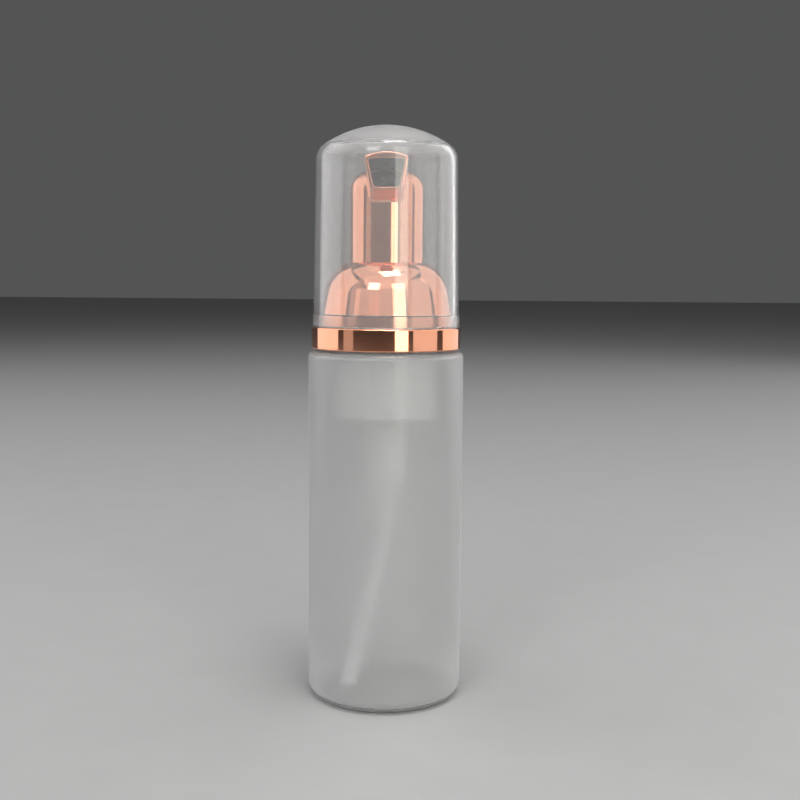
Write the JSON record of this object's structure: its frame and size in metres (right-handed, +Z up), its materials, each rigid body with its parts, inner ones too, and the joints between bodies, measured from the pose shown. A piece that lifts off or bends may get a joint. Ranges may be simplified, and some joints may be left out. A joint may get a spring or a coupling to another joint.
{
  "type": "foam pump bottle",
  "caption": "Frosted cylindrical travel bottle with a plated foam pump, beak spout, curved dip tube and a clear push-fit overcap.",
  "frame": {"origin": "centre of the base, on the surface the bottle stands on", "axes": "+Z up along the bottle's axis; the spout points along -Y"},
  "size_m": [0.036, 0.036, 0.1326],
  "materials": {
    "frosted_body": "frosted, translucent",
    "plated_rose": "mirror rose-gold plating on plastic",
    "white_pp": "natural white",
    "gasket_foam": "soft white",
    "natural_pp": "natural, milky",
    "tube_pe": "natural, translucent",
    "valve_steel": "polished",
    "spring_steel": "drawn wire",
    "soft_pe": "soft natural",
    "flap_rubber": "thin elastomer",
    "nylon_net": "woven nylon",
    "dark_pp": "dark, unplated",
    "clear_cap": "clear, slightly hazy"
  },
  "bodies": {
    "bottle": {"bottle": "frosted_body"},
    "pump": {"pump_housing": "natural_pp", "neck_gasket": "gasket_foam", "dip_tube": "tube_pe", "return_spring": "spring_steel"},
    "closure": {"screw_closure": "white_pp", "collar_shroud": "plated_rose"},
    "cap": {"overcap": "clear_cap"},
    "piston": {"piston_guide": "white_pp", "air_piston": "soft_pe", "liquid_piston": "soft_pe", "poppet_rod": "white_pp", "air_valve_flap": "flap_rubber"},
    "head": {"actuator_shell": "plated_rose", "foam_channel": "dark_pp", "mesh_sleeve": "white_pp", "coarse_mesh": "nylon_net", "fine_mesh": "nylon_net"},
    "inlet_valve": {"inlet_ball": "valve_steel"},
    "outlet_valve": {"outlet_ball": "valve_steel"}
  },
  "joints": [
    {"name": "pump_rise", "type": "slide", "parent": "bottle", "child": "pump", "axis": [0, 0, 1], "range_m": [0, 0.0024]},
    {"name": "closure_turn", "type": "hinge", "parent": "pump", "child": "closure", "pos_m": [0, 0, 0.084], "axis": [0, 0, 1], "range_deg": [0, 360]},
    {"name": "cap_lift", "type": "slide", "parent": "closure", "child": "cap", "axis": [0, 0, 1], "range_m": [0, 0.045]},
    {"name": "head_press", "type": "slide", "parent": "pump", "child": "piston", "axis": [0, 0, -1], "range_m": [0, 0.008], "stiffness_N_per_m": 900, "springref_m": -0.004, "deforming": ["return_spring"]},
    {"name": "head_swivel", "type": "hinge", "parent": "piston", "child": "head", "pos_m": [0, 0, 0.11], "axis": [0, 0, 1], "continuous": true},
    {"name": "inlet_ball_lift", "type": "slide", "parent": "pump", "child": "inlet_valve", "axis": [0, 0, 1], "range_m": [0, 0.0012]},
    {"name": "outlet_ball_lift", "type": "slide", "parent": "piston", "child": "outlet_valve", "axis": [0, 0, 1], "range_m": [0, 0.0012]}
  ],
  "couplings": [
    {"joint": "pump_rise", "follows": "closure_turn", "m_per_rad": 0.00038197}
  ]
}
